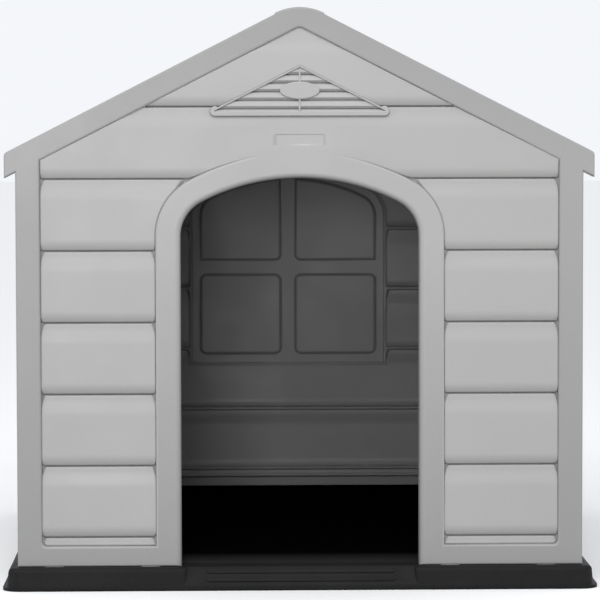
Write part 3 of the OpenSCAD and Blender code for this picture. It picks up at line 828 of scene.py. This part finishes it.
def buildFront():
    half, surround = front["doorHalf"], front["surround"]

    def recess(x, z):
        return np.minimum(fieldDistance(x, z), archDistance(x, z, half) - surround)

    plateZ = archCrownZ(half) + arch["crownR"] + surround + front["plateGap"]

    def depthAt(x, z):
        s = recess(x, z)
        deep = recessDepth(s, boardDepth(z, s))
        overArch = archDistance(x, z, half) - surround
        flush = fade(z - arch["springZ"], front["flushRise"])
        flush = flush * (1.0 - fade(np.abs(x), front["flushAcross"]))
        flush = flush * (1.0 - fade(overArch, front["flushReach"]))
        px = front["plateHalf"] - np.abs(x)
        pz = front["plateH"] / 2 - np.abs(z - plateZ - front["plateH"] / 2)
        return deep * (1.0 - flush) + front["plateD"] * smooth(np.minimum(px, pz) / 0.8)

    door = archHalf(half, 0.0, ledgeZ)
    door = np.vstack([door[:1], [[half, ledgeZ + 6.0]], door[1:]])
    outer = mirrorHalf(gableHalf())
    loop = np.vstack([outer, mirrorHalf(door)[::-1]])
    n, m = len(outer), len(loop) - len(outer)
    radius = np.full(n + m, front["outerRound"])
    radius[n:n + m - 1] = front["doorRound"]
    depth = np.full(n + m, house["returnD"])
    depth[n:] = front["jambD"]
    depth[[0, n - 1, n, n + m - 1]] = front["footD"]
    rings = []
    for s in front["ringSteps"]:
        right = fieldHalf(s)
        around = mirrorHalf(archHalf(half, surround + s, railZ + s))[::-1]
        rings.append(tidyLoop(np.vstack([right, mirrorHalf(right)[len(right):], around])))
    heights = boardHeights(railZ + 1.0, apexZ)
    fineZ = arch["springZ"] + front["flushRise"][0] - 10.0
    levels = levelLines(heights, gableReach, lambda z: archWidthAt(z, half, surround + 0.8), fineZ)
    for t in (0.0, 0.4, 0.8):
        plateX = front["plateHalf"] - t
        rings.append(boxLoop(-plateX, plateX, plateZ + t, plateZ + front["plateH"] - t))
    lines = {"closed": rings, "open": levels}
    shell = newShell()
    turn = turnAbout(0)
    hole = ventLoop(ventShape["rim"] + house["fit"], ventShape["sideRim"] + house["fit"])
    addWall(shell, loop, radius, depth, lines, hole, depthAt, -wallY, turn)
    outerTab, innerTab = fieldX - front["tabIn"], half + surround + front["tabBeside"]
    addGableFittings(shell, "front", (-outerTab, -innerTab, innerTab, outerTab), turn, depthAt)
    addVentHooks(shell, turn)
    makeGrey("frontPanel", "front_panel", shell, gableShadeAt)


# hooks that hold the vent's flange from behind: a stem outside its edge and a grip over it
hook = {
    "lowX": 70.0,  # places of the lower pair, from the middle
    "highX": 62.0,  # places of the upper pair, which stand square to the slopes
    "half": 8.0,  # half width of a hook
    "stemD": 8.0,  # depth where the stems start, inside the wall
    "grip": 4.0,  # how far the grips reach over the flange
    "inset": 0.2,  # how much smaller a grip is than its stem
}


def addVentHooks(shell, turn):
    behind = ventShape["back"] + sheet + house["fit"]
    half, inset, lip = hook["half"], hook["inset"], ventShape["lip"]
    stem, grip = (hook["stemD"], behind + sheet), (behind, behind + sheet - inset)
    for x in (-hook["lowX"], hook["lowX"]):
        z = ventShape["z"] - lip - 7.0
        addBar(shell, boxLoop(x - half, x + half, z, z + 6.6), *stem, turn, -wallY)
        narrow = half - inset
        addBar(shell, boxLoop(x - narrow, x + narrow, z + 0.3, z + 7.0 + hook["grip"]), *grip, turn, -wallY)
    for s in (-1.0, 1.0):
        x0, z0 = hook["highX"] * s, ventShape["z"] + (ventShape["half"] - hook["highX"]) * slope
        c, w = math.cos(math.radians(pitch)), math.sin(math.radians(pitch)) * -s
        for z1, z2, depths, less in ((lip + 0.4, lip + 6.4, stem, 0.0),
                                     (lip - hook["grip"], lip + 6.0, grip, inset)):
            loop = boxLoop(less - half, half - less, z1, z2)
            loop = np.stack([x0 + loop[:, 0] * c - loop[:, 1] * w, z0 + loop[:, 0] * w + loop[:, 1] * c], 1)
            addBar(shell, loop, *depths, turn, -wallY)


back = {
    "windowHalf": 187.0,  # half width of the blind window
    "windowZ": 283.0,  # height of its sill
    "crossbarZ": 470.0,  # height of the middle of its crossbar
    "bar": 30.0,  # width of the glazing bars
    "frame": 20.0,  # width of its outer frame
    "paneD": 4.8,  # depth of the panes
    "paneR": 10.0,  # rounding of the panes' corners
    "tabIn": 60.0,  # from the posts to the outer tabs' middles
    "tabX": 140.0,  # from the middle of the wall to the inner tabs' middles
}


def roundBoxDistance(x, z, x0, x1, z0, z1, r):
    dx = np.abs(x - (x0 + x1) / 2) - (x1 - x0) / 2 + r
    dz = np.abs(z - (z0 + z1) / 2) - (z1 - z0) / 2 + r
    return r - np.hypot(np.maximum(dx, 0), np.maximum(dz, 0)) - np.minimum(np.maximum(dx, dz), 0)


def buildBack():
    half, sill, cross = back["windowHalf"], back["windowZ"], back["crossbarZ"]
    b, rim, top = back["bar"] / 2, back["frame"], apexZ

    def windowIn(x, z):
        return np.minimum(-archDistance(x, z, half), z - sill)

    def paneIn(x, z):
        side = np.abs(x)
        lower = roundBoxDistance(side, z, b, half - rim, sill + rim + 2, cross - b, back["paneR"])
        upper = roundBoxDistance(side, z, b, half + 20, cross + b, top, back["paneR"])
        upper = np.minimum(upper, -archDistance(x, z, half) - rim)
        return np.maximum(lower, upper)

    def depthAt(x, z):
        s = np.minimum(fieldDistance(x, z), -windowIn(x, z))
        deep = recessDepth(s, boardDepth(z, s))
        pane = paneIn(x, z)
        inner = np.where(pane > -2.5, recessDepth(pane, np.full_like(pane, back["paneD"]), 1.6, 2.5), 0.0)
        return np.where(windowIn(x, z) > 2.5, inner, deep)

    outer = mirrorHalf(gableHalf())
    n = len(outer)
    radius = np.full(n, front["outerRound"])
    depth = np.full(n, house["returnD"])
    depth[[0, n - 1]] = front["footD"]
    closed = []
    for s in front["ringSteps"]:
        right = fieldHalf(s)
        closed.append(tidyLoop(np.vstack([right, mirrorHalf(right)[len(right):]])))
        closed.append(tidyLoop(mirrorHalf(archHalf(half, s, sill - s))))
        if s > 4.5:
            continue
        r = back["paneR"] - s
        lower = boxLoop(b + s, half - rim - s, sill + rim + 2 + s, cross - b - s, r)
        head = archHalf(half, -rim - s, cross + b + s)
        head = head[head[:, 0] > b + s + 1.0]
        headTop = archCrownZ(half) + math.sqrt((arch["crownR"] - rim - s) ** 2 - (b + s) ** 2)
        foot = arcPoints(b + s + r, cross + b + s + r, r, 180, 270, 5)
        upper = np.vstack([head, [[b + s, headTop]], foot])
        for pane in (lower, upper):
            closed += [tidyLoop(pane), tidyLoop(mirrorX(pane))]
    heights = boardHeights(railZ + 1.0, apexZ)

    def windowHalfAt(z):
        return archWidthAt(z, half, 0.8) if z > sill - 0.8 else 0.0

    lines = {"closed": closed, "open": levelLines(heights, gableReach, windowHalfAt)}
    shell = newShell()
    turn = turnAbout(180)
    addWall(shell, outer, radius, depth, lines, None, depthAt, -wallY, turn)
    outerTab, innerTab = fieldX - back["tabIn"], back["tabX"]
    addGableFittings(shell, "back", (-outerTab, -innerTab, innerTab, outerTab), turn, depthAt)
    makeGrey("backPanel", "back_panel", shell, gableShadeAt)


sideWall = {
    "postW": 42.0,  # width of the posts at the wall's ends
    "topRail": 34.0,  # height of the rail under the eaves
    "lipD": 16.0,  # depth of the turned-in edges
    "flangeW": 31.2,  # reach of the end flanges that the pins clamp
    "flangeIn": 0.2,  # a flange isn't quite level with the turned-in edge that it stands on
    "tabs": (-360.0, -120.0, 120.0, 360.0),  # middles of the tabs in the base
}


# a flange at one end of the house, drawn for the right half at the front
def addEndFlange(shell, loop, holes, sideSign, endSign):
    flip = sideSign * -endSign
    turn = turnAbout(0 if endSign < 0 else 180)
    outline = loop if flip > 0 else mirrorX(loop)
    cuts = [hole if flip > 0 else mirrorX(hole) for hole in holes]
    face = sideWall["flangeIn"] - endY
    addBar(shell, outline, face, face + sheet, turn, 0.0, cuts, 0.4)


def buildSide(name, node, sideSign):
    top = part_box(node)[1].z * 1000
    roofEnd = house["eaveX"] - tuck
    fieldTop = rakeIn(roofEnd) + tuck * along - sideWall["topRail"]
    half = endY - sideWall["postW"]

    def recess(x, z):
        return roundBoxDistance(x, z, -half, half, railZ, fieldTop, house["cornerR"])

    def depthAt(x, z):
        s = recess(x, z)
        return recessDepth(s, boardDepth(z, s))

    rings = []
    for s in front["ringSteps"]:
        rings.append(boxLoop(s - half, half - s, railZ + s, fieldTop - s, max(house["cornerR"] - s, 0.0)))
    levels = levelLines(boardHeights(railZ + 1.0, fieldTop - 1.0), lambda z: half - 0.8, lambda z: 0.0)
    shell = newShell()
    turn = turnAbout(90 * sideSign)
    loop = boxLoop(-endY, endY, ledgeZ, top)
    lines = {"closed": rings, "open": levels}
    addWall(shell, loop, 3.0, np.full(4, sideWall["lipD"]), lines, None, depthAt, -sideX, turn)
    flange = boxLoop(sideX - sideWall["flangeW"], sideX - 0.5, ledgeZ + 0.5, top - 0.5, 1.0)
    slots = [slotLoop(x, z) for x, z in pinPlaces("front") if x > sideX - 40]
    for endSign in (-1, 1):
        addEndFlange(shell, flange, slots, sideSign, endSign)
    addTabs(shell, sideWall["tabs"], turn, -sideX)

    # painted shade on the side wall's frame, heavier towards the ground
    def paintedShade(points):
        y, z = points[:, 1] * 1000, points[:, 2] * 1000
        return frameShadeAt(recess(y, z), z)

    makeGrey(name, node, shell, paintedShade)


roof = {
    "courses": 4,  # lapped courses on each half
    "step": 6.0,  # step down at each lap
    "nose": 2.6,  # rounding of each course's lower edge
    "slotX": 4.0,  # half width of the slot at the ridge
    "flangeLow": 30.0,  # how far the end flanges hang below the rake
    "legIn": 1.2,  # distance of the ridge strip's legs from the middle
    "barb": 2.2,  # reach of the barbs at their feet
    "barbH": 7.0,  # height of the barbs
}
lidX = house["capHalf"] + 2.0
roofEndX = house["eaveX"] - tuck
courseW = (roofEndX - 4.5 - lidX) / roof["courses"]
courseSlope = slope - roof["step"] / courseW
seatR = house["capR"] - 2 * tuck


def roofRef(x):
    return rakeOut(x) - tuck * along


def seatAngle(x, r):
    return 90.0 - math.degrees(math.asin(x / r))


# the right half's outer line from the ridge to the eave, sunk by d; noses only on the face
def roofLine(d):
    seat = arcPoints(0, capZ, seatR - d, seatAngle(roof["slotX"], seatR - d),
                     seatAngle(house["capHalf"] - 1 - 0.6 * d, seatR - d), 6)
    line = [seat]
    lean = math.degrees(math.atan(courseSlope))
    for k in range(roof["courses"]):
        x0, x1 = lidX + k * courseW - d, lidX + (k + 1) * courseW - d
        drop = d * (courseSlope - along)
        line.append(np.array([[x0, roofRef(x0 + d) - roof["step"] + drop]]))
        end = roofRef(x1 + d) + drop
        if d > 0:
            line.append(np.array([[x1, end]]))
            continue
        r = roof["nose"]
        centreZ = end + courseSlope * r - r * math.hypot(1.0, courseSlope)
        line.append(arcPoints(x1 - r, centreZ, r, 90 - lean, 0, 5))
    return np.vstack(line)


def roofSection():
    eaveZ = roofRef(roofEndX) - 5 * math.tan(math.radians(45 - pitch / 2))
    footZ = rakeIn(roofEndX) + tuck * along
    outer = roofLine(0)
    outer = outer[outer[:, 0] < roofEndX - 5.2]
    eave = arcPoints(roofEndX - 5, eaveZ, 5, 90 - pitch, 0, 6)
    lipX = roofEndX - sheet
    lip = [[roofEndX, footZ], [lipX, footZ + sheet * slope], [lipX, eaveZ - 3]]
    return np.vstack([outer, eave, lip, roofLine(sheet)[::-1]])[::-1]


def flangeSection():
    x0, x1 = lidX + 6, sideX - sideWall["flangeW"] - 4
    under = roofLine(1)
    inner = under[(under[:, 0] > x0 + 0.5) & (under[:, 0] < x1 - 0.5)]
    ends = [[x, float(np.interp(x, under[:, 0], under[:, 1]))] for x in (x0, x1)]
    low = [[x0, rakeIn(x0) - roof["flangeLow"]], [x1, rakeIn(x1) - roof["flangeLow"]]]
    return np.vstack([low, [ends[1]], inner[::-1], [ends[0]]])


def buildRoof(name, node, sideSign):
    shell = newShell()
    section = roofSection()
    addBar(shell, section if sideSign > 0 else mirrorX(section), -endY, endY, turnAbout(0))
    slots = [slotLoop(x, z) for x, z in pinPlaces("front") if 0 < x < sideX - 40]
    for endSign in (-1, 1):
        addEndFlange(shell, flangeSection(), slots, sideSign, endSign)
    # painted shade at half strength all over the roof panel
    makeGrey(name, node, shell, lambda points: 0.5)


def buildRidge():
    r = house["capR"] - tuck
    a = seatAngle(house["capHalf"] - tuck, r)
    strip = np.vstack([arcPoints(0, capZ, r, a, 180 - a, 32), arcPoints(0, capZ, r - sheet, 180 - a, a, 32)])
    legX, legIn, foot = roof["slotX"] - 0.6, roof["legIn"], -roof["barbH"]
    top, lip = capZ + r - sheet + 1, capZ + seatR - sheet - 1
    leg = np.array([[legX, top], [legIn, top], [legIn, lip + foot],
                    [legX - 0.4, lip + foot], [legX + roof["barb"], lip - 0.6], [legX, lip]])
    shell = newShell()
    addBar(shell, strip, -endY, endY, turnAbout(0), soft=0.8, steps=3)
    for side in (leg, mirrorX(leg)):
        addBar(shell, side, -endY, endY, turnAbout(0), soft=0.2)
    # painted shade at half strength all over the ridge strip
    makeGrey("ridgeStrip", "ridge_cap", shell, lambda points: 0.5)


def buildVent():
    shell = newShell()
    turn = turnAbout(0)
    z0, half, lip, back = ventShape["z"], ventShape["half"], ventShape["lip"], ventShape["back"]
    rim = ventLoop(ventShape["rim"], ventShape["sideRim"])
    addBar(shell, rim, -1.0, back + sheet, turn, -wallY, [ventLoop(0.4, 0.4)], 1.4, 4)
    addBar(shell, ventLoop(lip, lip), back, back + sheet, turn, -wallY, [ventLoop(0.6, 0.6)], 0.6)
    louvre = ventShape["pitch"]
    for i in range(-1, int(half * slope / louvre) + 2):
        z = z0 + 4.0 + i * louvre
        top = z + louvre - 2.7
        # depths and heights of a slat, whose top leans in behind the slat above
        section = [[4.0, z], [5.6, top - 2.5], [12.4, top + 4.2],
                   [11.0, top + 6.0], [2.4, top], [1.0, z + 4.0]]
        addSlat(shell, clipBetween(np.array(section), z0 - 0.5, z0 + half * slope + 0.2))
    addBar(shell, boxLoop(-1.5, 1.5, z0 - 0.5, z0 + half * slope - 1.0), 0.5, 13.0, turn, -wallY, (), 0.8)
    oval = circleLoop(0, 0, 1.0, 72) * np.array([ventShape["ovalHalf"], ventShape["ovalTall"]])
    oval[:, 1] += z0 + ventShape["ovalLift"]
    addBar(shell, oval, -1.0, 4.0, turn, -wallY, (), 1.6, 4)
    # painted shade on the vent's deeper parts, from 2.8 to 5.3 mm behind the wall face
    makeGrey("gableVent", "vent_grille", shell, lambda points: fade(points[:, 1] * 1000 + wallY, (2.8, 5.3)))


# the part of a convex outline between two heights
def clipBetween(loop, low, high):
    for level, keep in ((low, 1), (high, -1)):
        kept = []
        for i in range(len(loop)):
            a, b = loop[i - 1], loop[i]
            inA, inB = (a[1] - level) * keep > 0, (b[1] - level) * keep > 0
            if inA != inB:
                t = (level - a[1]) / (b[1] - a[1])
                kept.append(a + (b - a) * t)
            if inB:
                kept.append(b)
        loop = np.array(kept)
        if len(loop) < 3:
            return loop
    return tidyLoop(loop)


# one louvre, drawn in depth and height and run across the vent to its slopes
def addSlat(shell, section):
    if len(section) < 3:
        return
    apex = ventShape["z"] + ventShape["half"] * slope

    def reach(y, z):
        return np.maximum((apex - z + 0.4 * along) / slope, 0.3)

    loop = np.stack([section[:, 0] - wallY, section[:, 1]], 1)
    area = sum(np.cross(loop[i - 1], loop[i]) for i in range(len(loop)))
    loop = loop if area > 0 else loop[::-1]
    addBar(shell, loop, lambda y, z: -reach(y, z), reach, turnAbout(90), 0.0, (), 0.25)


base = {
    "softEdge": 1.4,  # rounding of the tray's edges, in millimetres
    "sharper": 24.0,  # edges that turn by more than this are rounded
    "footZ": 3.0,  # edges at or below this height stay sharp
    "shadedFloorFrom": (9.0, 13.0),  # heights above the ledge where the near-black painted shade of the floor inside begins
}


def buildBase():
    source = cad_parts["base_tray"]
    work = bmesh.new()
    work.from_mesh(source.data)
    bmesh.ops.remove_doubles(work, verts=work.verts, dist=1e-5)
    bmesh.ops.dissolve_limit(work, angle_limit=math.radians(1.0), verts=work.verts, edges=work.edges)
    sharpest = math.radians(base["sharper"])
    sharp = [e for e in work.edges if len(e.link_faces) == 2 and e.calc_face_angle(0) > sharpest]
    sharp = [e for e in sharp if max(v.co.z for v in e.verts) > base["footZ"] / 1000]
    bmesh.ops.bevel(work, geom=sharp, offset=base["softEdge"] / 1000, offset_type="OFFSET", segments=2,
                    profile=0.5, affect="EDGES", clamp_overlap=True)
    for face in work.faces:
        face.smooth = True
    mesh = bpy.data.meshes.new("baseTray")
    work.to_mesh(mesh)
    work.free()
    heights = np.array([v.co.z for v in mesh.vertices]) * 1000
    # painted shade: the floor inside turns near black above the ledge
    floorShade = fade(heights - ledgeZ, base["shadedFloorFrom"])
    placePiece("baseTray", mesh, blackPlastic, "hutch", "base_tray", floorShade)


pin = {
    "knobR": 14.0,  # radius of the hand knob
    "flutes": 12,  # scallops round the knob
    "fluteD": 0.9,  # depth of the scallops
    "knobD": (30.8, 35.8),  # depths of the knob's disc
    "wingD": 46.8,  # depth of the wing's end
    "shankR": 3.2,  # radius of the shank
    "hammerD": (19.0, 23.0),  # depths of the hammer head
    "hammerHalf": 7.5,  # half length of the hammer head
    "hammerTall": 3.1,  # half height of the hammer head
}


def buildPin(node):
    x, z = pinMiddle(node)
    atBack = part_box(node)[0].y > 0
    turn = turnAbout(180 if atBack else 0)
    x = -x if atBack else x
    shell = newShell()
    angles = np.radians(np.arange(0, 360, 5.0))
    flute = pin["knobR"] - pin["fluteD"] * (0.5 + 0.5 * np.cos(angles * pin["flutes"])) ** 2
    knob = np.stack([x + flute * np.cos(angles), z + flute * np.sin(angles)], 1)
    addBar(shell, knob, pin["knobD"][0], pin["knobD"][1], turn, -wallY, (), 1.0, 3)
    shank = circleLoop(x, z, pin["shankR"], 24)
    addBar(shell, shank, pin["hammerD"][0] + 0.6, pin["knobD"][0] + 1, turn, -wallY, (), 0.3)
    sweep = math.degrees(math.asin(pin["hammerTall"] / pin["hammerHalf"]))
    head = np.vstack([arcPoints(x, z, pin["hammerHalf"], -sweep, sweep, 4),
                      arcPoints(x, z, pin["hammerHalf"], 180 - sweep, 180 + sweep, 4)])
    addBar(shell, head, pin["hammerD"][0], pin["hammerD"][1], turn, -wallY, (), 0.5)
    # the wing is drawn from above and stood up on the knob
    wing = boxLoop(x - pin["knobR"] + 2, x + pin["knobR"] - 2, z - 3, z + 3, 2.4)
    addBar(shell, wing, pin["knobD"][1] - 1, pin["wingD"], turn, -wallY, (), 1.6, 4)
    makePiece(node.replace("pin_", "lockPin_"), shell, pinPlastic, node + "_body", node)


buildFront()
buildBack()
buildSide("leftSide", "left_side_panel", -1)
buildSide("rightSide", "right_side_panel", 1)
buildRoof("leftRoof", "left_roof_panel", -1)
buildRoof("rightRoof", "right_roof_panel", 1)
buildRidge()
buildVent()
buildBase()
for node in sorted(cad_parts):
    if node.startswith("pin_"):
        buildPin(node)

# camera: far back, a little left of the middle, looking down slightly
cameraSetup = {"place": (-0.118, -5.495, 0.765), "pan": 1.35, "tilt": -3.425, "roll": -0.117, "lens": 187.0}


def addCamera(setup):
    data = bpy.data.cameras.new("frontCamera")
    data.lens = setup["lens"]
    data.sensor_width = 36.0
    data.clip_end = 60.0
    camera = addObject("frontCamera", data)
    turn = Matrix.Rotation(math.radians(-setup["pan"]), 4, "Z")
    tip = Matrix.Rotation(math.radians(90.0 + setup["tilt"]), 4, "X")
    lean = Matrix.Rotation(math.radians(setup["roll"]), 4, "Z")
    camera.matrix_world = Matrix.Translation(setup["place"]) @ turn @ tip @ lean
    scene.camera = camera


addCamera(cameraSetup)

studio = {
    "floorR": 30.0,  # radius of the floor, in metres
    "floorGrey": 0.93,  # reflectance of the floor
    "air": (0.905, 0.922, 0.956),  # pale air at the horizon and above
    "airBelow": (0.30, 0.30, 0.30),  # air below the horizon
    "keyPower": 88.0,  # soft lamp above and in front, in watts
    "sidePower": 16.0,  # long lamps at either side, in watts
    "frontPower": 44.0,  # lamp at the height of the doorway that lights the inside, in watts
}


def addFloor(setup):
    flat = arcPoints(0, 0, setup["floorR"], 0, 354.0, 59)
    mesh = bpy.data.meshes.new("studioFloor")
    mesh.from_pydata([(x, y, 0) for x, y in flat], [], [list(range(len(flat)))])
    floor = addObject("studioFloor", mesh)
    mat = bpy.data.materials.new("studioFloor")
    mat.use_nodes = True
    shader = mat.node_tree.nodes["Principled BSDF"]
    grey = setup["floorGrey"]
    setInputs(shader, {"Base Color": (grey, grey, grey, 1.0), "Roughness": 0.9, "Specular IOR Level": 0.1})
    mesh.materials.append(mat)
    floor.visible_diffuse = False  # the floor shows white but throws little light up at the house


def addArea(name, place, aim, size, power):
    data = bpy.data.lights.new(name, "AREA")
    data.shape = "RECTANGLE"
    data.size = size[0]
    data.size_y = size[1]
    data.energy = power
    lamp = addObject(name, data)
    lamp.location = place
    way = Vector(aim) - Vector(place)
    lamp.rotation_euler = way.to_track_quat("-Z", "Y").to_euler()


addFloor(studio)
world = bpy.data.worlds.new("studioAir")
world.use_nodes = True
air = world.node_tree.nodes
airway = air.new("ShaderNodeTexCoord")
airSplit = air.new("ShaderNodeSeparateXYZ")
airLevel = air.new("ShaderNodeMapRange")
setInputs(airLevel, {"From Min": -0.25, "From Max": -0.08})
airColour = air.new("ShaderNodeMix")
airColour.data_type = "RGBA"
setInputs(airColour, {"A": studio["airBelow"] + (1.0,), "B": studio["air"] + (1.0,)})
for source, target in ((airway.outputs["Generated"], airSplit.inputs["Vector"]),
                       (airSplit.outputs["Z"], airLevel.inputs["Value"]),
                       (airLevel.outputs["Result"], airColour.inputs["Factor"]),
                       (airColour.outputs["Result"], air["Background"].inputs["Color"])):
    world.node_tree.links.new(source, target)
air["Background"].inputs["Strength"].default_value = 1.0
scene.world = world
scene.view_settings.view_transform = "Standard"
addArea("keySoft", (-0.45, -3.6, 3.4), (0, -0.3, 0.55), (2.2, 1.8), studio["keyPower"])
for name, side in (("leftSoft", -1), ("rightSoft", 1)):
    addArea(name, (3.2 * side, -1.6, 0.9), (0, -0.4, 0.5), (0.3, 2.6), studio["sidePower"])
addArea("frontSoft", (-0.7, -6.5, 0.95), (0, 0.2, 0.45), (1.0, 1.0), studio["frontPower"])
print("camera and lights ready")
